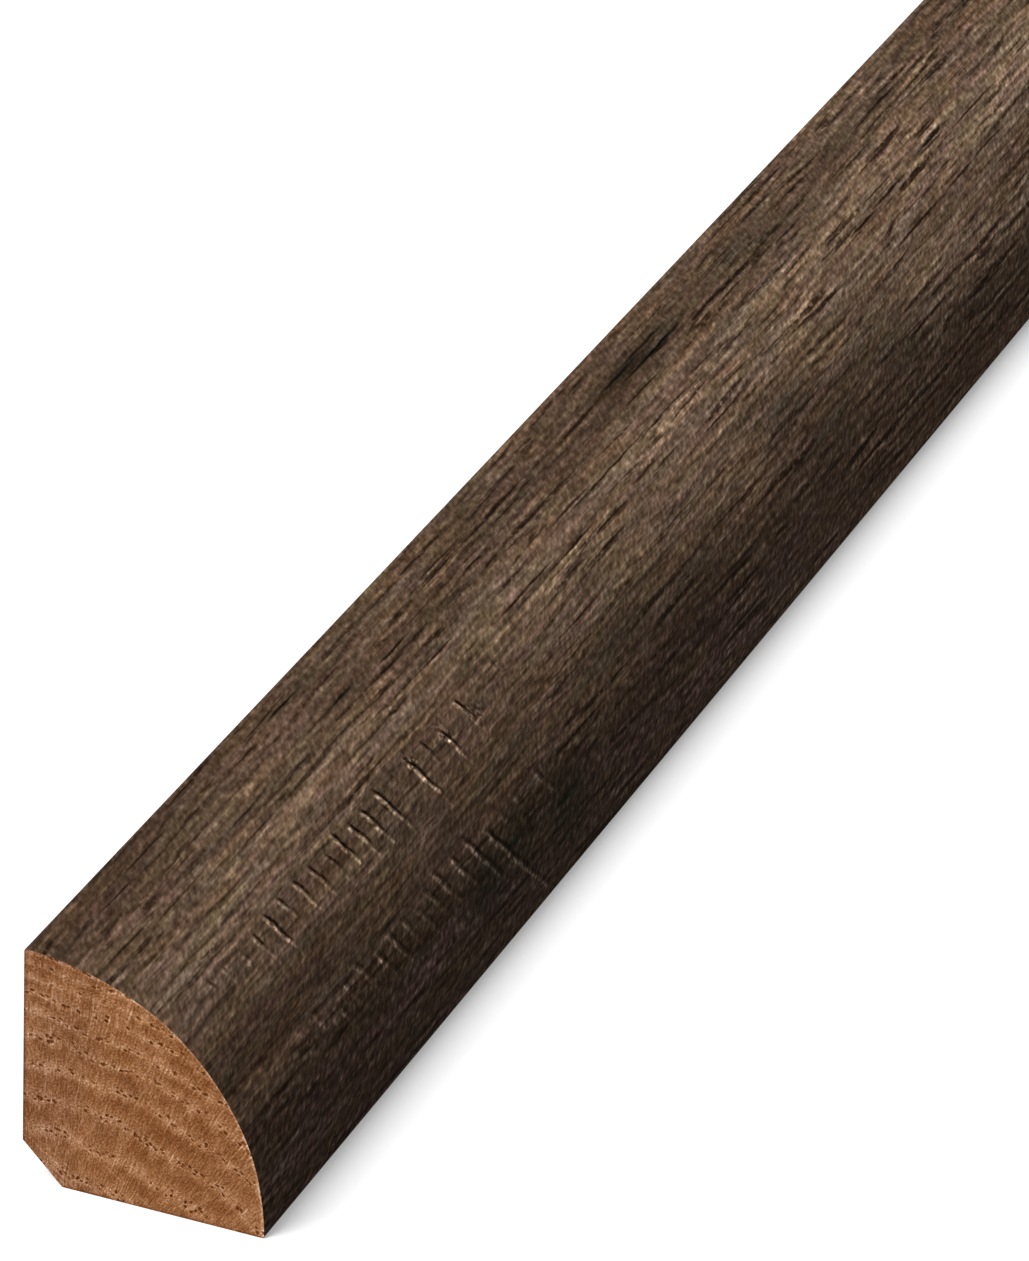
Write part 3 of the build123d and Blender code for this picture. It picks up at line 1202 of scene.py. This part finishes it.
# Angles in degrees, and pixels of the 1029 x 1261 frame
FRAME_HEIGHT_PX = 1261
FOCAL_PX = 7595.2
CAMERA_PLACE = (0.189752, -1.411604, 0.293187)
CAMERA_AZIMUTH = 21.168
CAMERA_ELEVATION = 27.991
CAMERA_ROLL = 2.411
CAMERA_CLIP = (0.05, 100.0)
SENSOR = 36.0


def floor_white():
    """Pale floor: white to the eye, with the shadow kept, and a dim bounce on the stock."""
    finish = Finish(bpy.data.materials.new("pale_floor"))
    dim = finish.node("ShaderNodeBsdfDiffuse", None, {"Color": FLOOR_DIM})
    pale = finish.node("ShaderNodeBsdfDiffuse", None, {"Color": FLOOR_PALE})
    lift = finish.node("ShaderNodeEmission", None, {"Color": WHITE, "Strength": FLOOR_LIFT})
    shown = finish.node("ShaderNodeAddShader", None, {0: pale, 1: lift})
    floor = finish.node("ShaderNodeMixShader", None, {0: finish.seen(), 1: dim, 2: shown})
    return finish.close("ShaderNodeOutputMaterial", floor)


def studio():
    """Pale floor, one broad soft lamp over the wall side and a faint fill from all round."""
    mesh = bpy.data.meshes.new("floor")
    drop = low.z - FLOOR_DROP
    ways = ((-1, -1), (1, -1), (1, 1), (-1, 1))
    mesh.from_pydata([(x * FLOOR_REACH, y * FLOOR_REACH, drop) for x, y in ways], [], [(0, 1, 2, 3)])
    mesh.materials.append(floor_white())
    ground = bpy.data.objects.new("floor", mesh)
    bpy.context.collection.objects.link(ground)

    lamp = bpy.data.lights.new("key", "SUN")
    lamp.energy = KEY_STRENGTH
    lamp.angle = math.radians(KEY_SPREAD)
    key = bpy.data.objects.new("key", lamp)
    key.rotation_mode = "QUATERNION"
    key.rotation_quaternion = Vector(KEY_FROM).to_track_quat("Z", "Y")
    bpy.context.collection.objects.link(key)

    fill = Finish(bpy.data.worlds.new("studio"))
    strength = fill.between(fill.seen(), FILL, 1.0)
    back = fill.node("ShaderNodeBackground", None, {"Color": WHITE, "Strength": strength})
    bpy.context.scene.world = fill.close("ShaderNodeOutputWorld", back)


def photo_camera():
    """Camera at the photograph's viewing angle: a long lens that looks down on the near end."""
    data = bpy.data.cameras.new("camera")
    data.sensor_width = SENSOR
    data.lens = SENSOR * FOCAL_PX / FRAME_HEIGHT_PX
    data.clip_start, data.clip_end = CAMERA_CLIP
    camera = bpy.data.objects.new("camera", data)
    turn = math.radians(CAMERA_AZIMUTH)
    tilt = math.radians(CAMERA_ELEVATION)
    back = Vector((math.sin(turn) * math.cos(tilt), -math.cos(turn) * math.cos(tilt), math.sin(tilt)))
    right = Vector((math.cos(turn), math.sin(turn), 0.0))
    up = back.cross(right)
    axes = Matrix((right, up, back)).transposed()
    roll = Matrix.Rotation(math.radians(CAMERA_ROLL), 3, "Z")
    camera.matrix_world = Matrix.Translation(CAMERA_PLACE) @ (axes @ roll).to_4x4()
    bpy.context.collection.objects.link(camera)
    bpy.context.scene.camera = camera


stock = quarter_round_stock()
for material in (stained_oak(), end_grain(), bare_oak()):
    stock.data.materials.append(material)
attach(stock, "root")
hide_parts(NODE)
studio()
photo_camera()
bpy.context.scene.view_settings.view_transform = "Standard"

bpy.context.view_layer.update()
